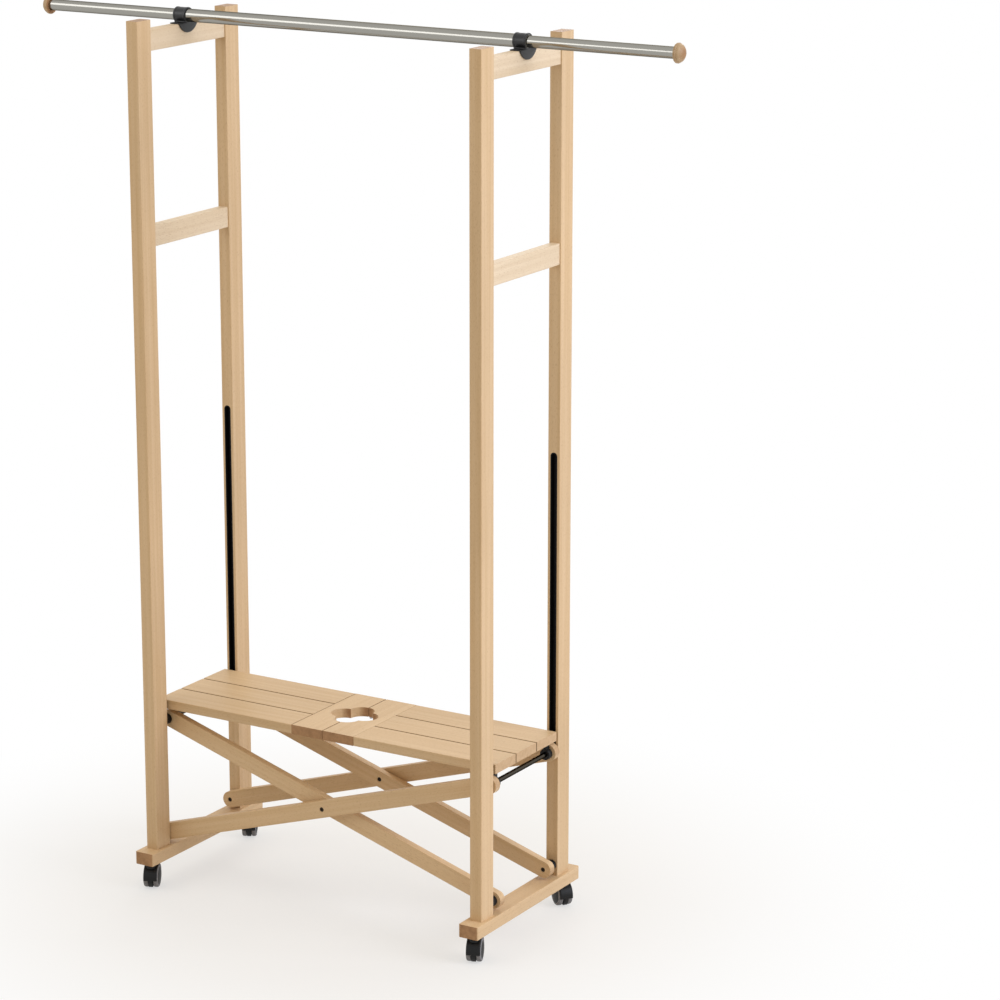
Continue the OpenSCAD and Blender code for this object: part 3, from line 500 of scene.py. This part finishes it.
def eased(outline, low, high, edge, between=0):
    """A counter-clockwise outline of (a, b) points at rising heights, with both ends round. Over each end
    it is drawn in along its own normals by edge * (1 - sin s) while it rises by edge * (1 - cos s), with s
    from 0 to a right angle. between is the number of rows in the straight part."""
    outline = np.asarray(outline, float)
    along = np.roll(outline, -1, 0) - np.roll(outline, 1, 0)
    outward = np.stack([along[:, 1], -along[:, 0]], -1)
    outward /= np.linalg.norm(outward, axis=1, keepdims=True)
    s = np.linspace(0, np.pi / 2, 4)
    drawn = edge * (1 - np.sin(s))
    rise = edge * (1 - np.cos(s))
    straight = np.linspace(low + edge, high - edge, between + 2)[1:-1]
    height = np.concatenate([low + rise, straight, high - rise[::-1]])
    drawn = np.concatenate([drawn, np.zeros(between), drawn[::-1]])
    return outline[None] - drawn[:, None, None] * outward[None], height


def outline_slab(outline, low, high, edge, across, up, normal, origin):
    """An outline given thickness along a normal, from low to high, with round edges. A point is origin +
    a * across + b * up + height * normal."""
    flat, height = eased(outline, low, high, edge)
    across, up, normal, origin = (np.asarray(v, float) for v in (across, up, normal, origin))
    return shell(origin + flat[:, :, :1] * across + flat[:, :, 1:] * up + height[:, None, None] * normal)


def block(low, high, edge):
    """A box between two corners with all its edges round, as a slab along Z."""
    (x0, y0, z0), (x1, y1, z1) = low, high
    outline = rounded([(x0, y0), (x1, y0), (x1, y1), (x0, y1)], edge)
    return outline_slab(outline, z0, z1, edge * 0.9, (1, 0, 0), (0, 1, 0), (0, 0, 1), (0, 0, 0))


def rod_clips(way, y0, top):
    """The two clips of one shelf half: each a ring on the rod, a neck and a screwed flange, whose blocks
    are outlines with thickness. way is +1 where the shelf lies to the right of its rod."""
    x = -way * SPAN_X
    shells = moulded_rings(x, ROD_Z, RING_D, ROD_BORE, y0, y0 + CLIP_WIDTH, 1.1)
    for low, high in ((y0, y0 + CLIP_WIDTH), (-y0 - CLIP_WIDTH, -y0)):
        neck = sorted([x - 4.0 * way, x + 4.0 * way])
        flange = sorted([x - 4.0 * way, x + 22.0 * way])
        shells.append(block((neck[0], low + 0.2, ROD_Z + 6.5), (neck[1], high - 0.2, top - 1.5), 0.7))
        shells.append(block((flange[0], low, top - FLANGE_T), (flange[1], high, top), 0.8))
    return shells


# Nylon from a matt mould: near black, and dull even where the light strikes it
matt_nylon = grained_plastic("matt_nylon", "#0E0F10", 0.6, 0.5)
matt_nylon.node_tree.nodes["Principled BSDF"].inputs["Specular IOR Level"].default_value = 0.3
piece("left_clips", rod_clips(1, LEFT_CLIP_Y, SHELF_Z), [matt_nylon], "left_shelf", ["left_rod_clips"])
piece("right_clips", rod_clips(-1, RIGHT_CLIP_Y, SHELF_Z - CLEAR), [matt_nylon], "right_clips",
    ["right_rod_clips"])
HINGE_SCREWS = [(18.0, y) for y in (-88.0, -68.0, 68.0, 88.0)]
HINGE_HEAD_Z = SHELF_Z - 3.6
CLIP_HEAD_Z = SHELF_Z - 5.0
left_hinge_screws = [(-x, y) for x, y in HINGE_SCREWS]
left_flange_screws = [(-CLIP_SCREW_X, side * (LEFT_CLIP_Y + CLIP_WIDTH / 2)) for side in (-1, 1)]
right_flange_screws = [(CLIP_SCREW_X, side * (RIGHT_CLIP_Y + CLIP_WIDTH / 2)) for side in (-1, 1)]
piece("left_screws", screws(left_hinge_screws, HINGE_HEAD_Z, SCREW_TIP)
    + screws(left_flange_screws, CLIP_HEAD_Z, SCREW_TIP),
    [oxide_steel], "left_shelf", ["left_shelf_screws"])
piece("right_screws", screws(HINGE_SCREWS, HINGE_HEAD_Z, SCREW_TIP), [oxide_steel], "right_shelf",
    ["right_shelf_screws"])
piece("right_flange_screws", screws(right_flange_screws, CLIP_HEAD_Z - CLEAR, SHELF_Z - CLEAR),
    [oxide_steel], "right_clips", ["right_clip_screws"])


# The tube clips. Each is one moulding: a band with raised rims round the tube, a saddle and a plate that
# stand on the rail, and a thin half-round tongue over the rail's right face. It is nylon filled with glass,
# whose fibres show as a fine grit in a dark grey sheen.

TUBE_Z = 1736.0
RAIL_TOP = 1721.2
BAND_INNER_R = 12.55
BAND_OUTER_R = 15.5
BAND_HALF = 13.5
PLATE_T = 2.2
TONGUE_R = 33.0


def tube_clip(x):
    """The shells of one clip, at the rail's x: the band is a rimmed section carried round the tube's axis,
    and the tongue is a circle's lower part with round edges."""
    band = rounded([
        (BAND_INNER_R, -BAND_HALF), (BAND_OUTER_R, -BAND_HALF),
        (BAND_OUTER_R, 3.5 - BAND_HALF), (BAND_OUTER_R - 0.5, 4.5 - BAND_HALF),
        (BAND_OUTER_R - 0.5, BAND_HALF - 4.5), (BAND_OUTER_R, BAND_HALF - 3.5),
        (BAND_OUTER_R, BAND_HALF), (BAND_INNER_R, BAND_HALF)], [0.2, 0.8, 0.5, 0.5, 0.5, 0.5, 0.8, 0.2])
    drop = RAIL_TOP + PLATE_T - TUBE_Z
    start = math.asin(-drop / TONGUE_R)
    t = np.linspace(-math.pi + start, -start, 41)
    tongue = np.stack([TONGUE_R * np.cos(t), TONGUE_R * np.sin(t)], -1)
    saddle = BAND_HALF - 0.4
    return [
        shell(turned(band, (x, 0, TUBE_Z), (1, 0, 0), 96), ring=True),
        block((x - saddle, -11.0, RAIL_TOP + 0.6), (x + saddle, 11.0, TUBE_Z - 10.5), 1.2),
        block((x - 10.0, -29.7, RAIL_TOP), (x + 13.25, 29.7, RAIL_TOP + PLATE_T), 0.8),
        outline_slab(tongue, 10.25, 13.25, 1.0, (0, 1, 0), (0, 0, 1), (1, 0, 0), (x, 0, TUBE_Z)),
    ]


nylon = grained_plastic("glassfilled_nylon", "#17181A", 0.6, 0.38)
piece("rail_clips", tube_clip(-SPAN_X) + tube_clip(SPAN_X), [nylon], "hanging_tube", ["tube_clips"])


# The knobs. Each is turned from beech with its grain along the tube, a round-edged disc under a low dome
# with a fine groove between them, and is pushed over the extension's end. The dome's radius is 17.2 times
# cos t to the power 1.3, at a height of 5.6 + 11.4 times sin t to the power 1.1.

KNOB_X = 698.0
KNOB_R = 18.45
dome_turn = np.linspace(0.0, 1.5, 16)
knob_profile = np.vstack([
    rounded([(0.4, 9.0), (11.0, 9.0), (11.0, 0.0), (KNOB_R, 0.0), (KNOB_R, 4.6), (17.4, 5.2)],
        [0.1, 0.4, 0.4, 1.6, 0.4, 0.1], closed=False),
    np.stack([17.2 * np.cos(dome_turn) ** 1.3, 5.6 + 11.4 * np.sin(dome_turn) ** 1.1], -1),
])
for side, way, seed in (("left", -1, 40.0), ("right", 1, 41.0)):
    piece(side + "_turned_knob", [shell(turned(knob_profile, (way * KNOB_X, 0, TUBE_Z), (way, 0, 0), 96))],
        [beech(side + "_knob", GRAIN_X, seed, 0.72)], side + "_extension_tube", [side + "_knob"])


# The casters. A black nylon hood curves over two wheels, on a web between them that holds the axle. Each
# wheel has a domed black hub and a grey rubber tread, whose round shoulder shows beside the hood.

HOOD_R = 25.8
HOOD_T = 1.6
HOOD_HALF = 13.8
WEB_HALF = 4.5
WHEEL_START = 5.1
AXLE_Z = 23.0
TRAIL = 12.0
WHEEL_R = 23.0
HUB_R = 18.2


def hood_shell(axle, aside, back):
    """A caster's hood: a thin section with eased shoulders, carried about the axle from its low front edge
    over the top to its back edge. A point is axle + a * aside + b * (up sin s - back cos s), where s is the
    height along the arc over the hood's radius."""
    low, shoulder, flat = HOOD_R - HOOD_T, HOOD_R - 0.9, HOOD_HALF - 2.5
    section = rounded([(HOOD_HALF, low), (HOOD_HALF, shoulder), (flat, HOOD_R), (-flat, HOOD_R),
        (-HOOD_HALF, shoulder), (-HOOD_HALF, low)], [0.2, 0.3, 3.0, 3.0, 0.3, 0.2])
    ends = HOOD_R * math.radians(-8), HOOD_R * math.radians(165)
    rows, arc = eased(section, *ends, 0.6, between=56)
    s = arc[:, None, None] / HOOD_R
    outward = np.sin(s) * np.array([0, 0, 1.0]) - np.cos(s) * back
    return shell(axle + rows[:, :, :1] * aside + rows[:, :, 1:] * outward)


def caster_shells(swivel, aside, back):
    """A caster's housing: its hood, the web between the wheels, which is part of a circle given thickness,
    and the boss round the stem and the axle's pin, which are profiles carried round their axes."""
    axle = swivel + TRAIL * back + (0, 0, AXLE_Z)
    web_r = HOOD_R - HOOD_T / 2
    low = math.asin((4.0 - AXLE_Z) / web_r)
    t = np.linspace(low, math.pi - low, 60)
    web = np.stack([web_r * np.cos(t), web_r * np.sin(t)], -1)
    boss = rounded([(8.8, 44.0), (8.8, 47.5), (7.9, 49.0), (7.9, 53.8), (0.5, 53.8)],
        [0.1, 1.0, 1.0, 0.6, 0.1], closed=False)
    pin = rounded([(0.5, -13.1), (2.5, -13.1), (2.5, 13.1), (0.5, 13.1)],
        [0.1, 0.5, 0.5, 0.1], closed=False)
    return [
        hood_shell(axle, aside, back),
        outline_slab(web, -WEB_HALF, WEB_HALF, 0.8, back, (0, 0, 1), aside, axle),
        shell(turned(boss, swivel, (0, 0, 1))),
        shell(turned(pin, axle, aside), finish=1),
    ]


def wheel_shells(axle, outward):
    """One wheel: a hub with a domed face that hides the axle's end, and a crowned rubber tread round it
    with a round outer shoulder. Both are profiles of (radius, height) carried round the axle."""
    hub = rounded([
        (0.3, 8.4), (2.56, 8.4), (2.56, 0.0), (HUB_R, 0.0), (HUB_R, 9.5), (16.6, 9.9), (9.0, 11.4),
        (0.3, 11.8)], [0.1, 0.4, 0.4, 0.5, 0.6, 4.0, 20.0, 0.1], closed=False)
    tread = rounded([
        (17.9, 0.3), (22.6, 0.3), (WHEEL_R, 3.0), (WHEEL_R, 6.0), (22.5, 9.6), (17.9, 9.6)],
        [0.3, 1.0, 6.0, 6.0, 2.8, 0.3], steps=6)
    base = axle + WHEEL_START * outward
    return [
        shell(turned(hub, base, outward, 72)),
        shell(turned(tread, base, outward, 96), ring=True, finish=1),
    ]


TREAD_DARK = "#75757A"
TREAD_DUSTY = "#88888C"
# Patches of dust in a metre, so one is about 5.6 mm wide
DUST_PER_METRE = 180.0


def tread_rubber():
    """Grey thermoplastic rubber: dull, with soft patches of dust."""
    material, tree, shader = new_material("grey_tread_rubber")
    place = add(tree, "ShaderNodeTexCoord")
    dust = add(tree, "ShaderNodeTexNoise", [("Scale", DUST_PER_METRE), ("Detail", 4.0)],
        [("Vector", place.outputs["Object"])]).outputs["Fac"]
    colour = add(tree, "ShaderNodeValToRGB", [
        ("stops", [(0.35, linear(TREAD_DARK)), (0.7, linear(TREAD_DUSTY))]),
    ], [("Fac", dust)]).outputs["Color"]
    tree.links.new(colour, shader.inputs["Base Color"])
    shader.inputs["Roughness"].default_value = 0.7
    return material


joints = {joint["name"]: joint for joint in frame["joints"]}
rubber = tread_rubber()
for name in ("left_front", "left_rear", "right_front", "right_rear"):
    aside = np.array(joints[name + "_wheel_b_spin"]["axis"], float)
    back = np.cross((0.0, 0.0, 1.0), aside)
    swivel = np.array(joints[name + "_swivel"]["pos_m"]) * (1000, 1000, 0)
    axle = swivel + TRAIL * back + (0, 0, AXLE_Z)
    piece(name + "_housing", caster_shells(swivel, aside, back), [matt_nylon, zinc], name + "_caster_body",
        [name + "_caster"])
    for side, outward in (("a", -aside), ("b", aside)):
        piece(f"{name}_roller_{side}", wheel_shells(axle, outward), [matt_nylon, rubber],
            f"{name}_wheel_{side}_body", [f"{name}_wheel_{side}"])


# The studio, in metres. A pale paper floor runs out to a white background. The room's own light grows
# towards its ceiling, a large soft lamp stands at the right and smaller ones at the front left and behind,
# and the camera looks down from the right front.

FLOOR_HALF = 12.0


def looking(tree):
    """1 for a ray that looks, straight from the camera or by way of metal or glass, and 0 for one that only
    carries light."""
    rays = add(tree, "ShaderNodeLightPath").outputs
    straight = add(tree, "ShaderNodeMath", [("operation", "MAXIMUM")],
        [(0, rays["Is Camera Ray"]), (1, rays["Is Glossy Ray"])]).outputs[0]
    return add(tree, "ShaderNodeMath", [("operation", "MAXIMUM")],
        [(0, straight), (1, rays["Is Transmission Ray"])]).outputs[0]


floor_mesh = bpy.data.meshes.new("studio_floor")
floor_mesh.from_pydata([
    (-FLOOR_HALF, -FLOOR_HALF, 0), (FLOOR_HALF, -FLOOR_HALF, 0), (FLOOR_HALF, FLOOR_HALF, 0),
    (-FLOOR_HALF, FLOOR_HALF, 0)], [], [(0, 1, 2, 3)])
floor = bpy.data.objects.new("studio_floor", floor_mesh)
bpy.context.scene.collection.objects.link(floor)
floor_material, floor_tree, floor_shader = new_material("studio_paper")
floor_shader.inputs["Base Color"].default_value = linear("#E0DDD9")
floor_shader.inputs["Roughness"].default_value = 0.9
floor_shader.inputs["Specular IOR Level"].default_value = 0.1
# The paper is lifted to white where it is only looked at, in part near the stand and fully further out, so
# that the stand's soft shadow stays and the paper's far edge doesn't show
floor_place = add(floor_tree, "ShaderNodeTexCoord").outputs["Object"]
floor_distance = add(floor_tree, "ShaderNodeVectorMath", [("operation", "LENGTH")],
    [(0, floor_place)]).outputs["Value"]
floor_lift = add(floor_tree, "ShaderNodeMapRange", [
    ("interpolation_type", "SMOOTHSTEP"),
    ("From Min", 0.3), ("From Max", 1.2), ("To Min", 0.58), ("To Max", 1.0),
], [("Value", floor_distance)]).outputs["Result"]
floor_share = add(floor_tree, "ShaderNodeMath", [("operation", "MULTIPLY")],
    [(0, looking(floor_tree)), (1, floor_lift)]).outputs[0]
white = add(floor_tree, "ShaderNodeEmission", [("Strength", 1.0)]).outputs["Emission"]
paper = add(floor_tree, "ShaderNodeMixShader",
    links=[(0, floor_share), (1, floor_shader.outputs["BSDF"]), (2, white)]).outputs["Shader"]
floor_tree.links.new(paper, floor_tree.nodes["Material Output"].inputs["Surface"])
floor_mesh.materials.append(floor_material)

world = bpy.data.worlds.new("studio_world")
bpy.context.scene.world = world
world.use_nodes = True
world_tree = world.node_tree
background = world_tree.nodes["Background"]
looked_at = looking(world_tree)
sky_way = add(world_tree, "ShaderNodeTexCoord").outputs["Object"]
sky_height = add(world_tree, "ShaderNodeSeparateXYZ", links=[("Vector", sky_way)]).outputs["Z"]
room_light = add(world_tree, "ShaderNodeMapRange", [("To Min", 0.17), ("To Max", 1.0)],
    [("Value", sky_height)]).outputs["Result"]
strength = add(world_tree, "ShaderNodeMix", [(3, 1.0)], [(0, looked_at), (2, room_light)]).outputs[0]
world_tree.links.new(strength, background.inputs["Strength"])
# The room's light is warm, as it comes off wood and paper, and the background is white
world_colour = add(world_tree, "ShaderNodeMix", [
    ("data_type", "RGBA"), (6, (1.0, 0.90, 0.73, 1.0)), (7, (1.0, 1.0, 1.0, 1.0)),
], [(0, looked_at)]).outputs[2]
world_tree.links.new(world_colour, background.inputs["Color"])


def softbox(name, place, target, width, height, power, colour):
    """A rectangular area lamp at place that faces target."""
    data = bpy.data.lights.new(name, "AREA")
    data.color = colour
    data.shape = "RECTANGLE"
    data.size = width
    data.size_y = height
    data.energy = power
    lamp = bpy.data.objects.new(name, data)
    lamp.location = place
    aim = np.array(target) - np.array(place)
    lamp.rotation_euler = (
        math.atan2(math.hypot(aim[0], aim[1]), -aim[2]), 0, math.atan2(aim[1], aim[0]) - math.pi / 2)
    bpy.context.scene.collection.objects.link(lamp)


softbox("key_softbox", (6.0, 0.8, 3.5), (0, 0, 0.9), 3.6, 3.6, 235, (0.95, 1.0, 1.16))
softbox("rear_softbox", (-0.6, 2.6, 2.7), (0, 0, 1.5), 2.4, 1.0, 18, (1.0, 1.0, 1.0))
softbox("front_softbox", (-1.7, -2.0, 2.65), (0, 0, 1.5), 2.6, 1.1, 18, (0.98, 0.99, 1.02))

camera_data = bpy.data.cameras.new("camera")
camera = bpy.data.objects.new("camera", camera_data)
bpy.context.scene.collection.objects.link(camera)
bpy.context.scene.camera = camera
SENSOR_MM = 36.0
LENS_TO_SENSOR = 3.49893
PITCH_DOWN = 14.75
camera_data.sensor_width = SENSOR_MM
camera_data.lens = SENSOR_MM * LENS_TO_SENSOR
camera_data.clip_end = 60.0
camera.location = (3.61593, -5.48445, 2.54898)
camera.rotation_euler = (math.radians(90 - PITCH_DOWN), math.radians(-0.07), math.radians(30.92))

bpy.context.scene.view_settings.view_transform = "Standard"
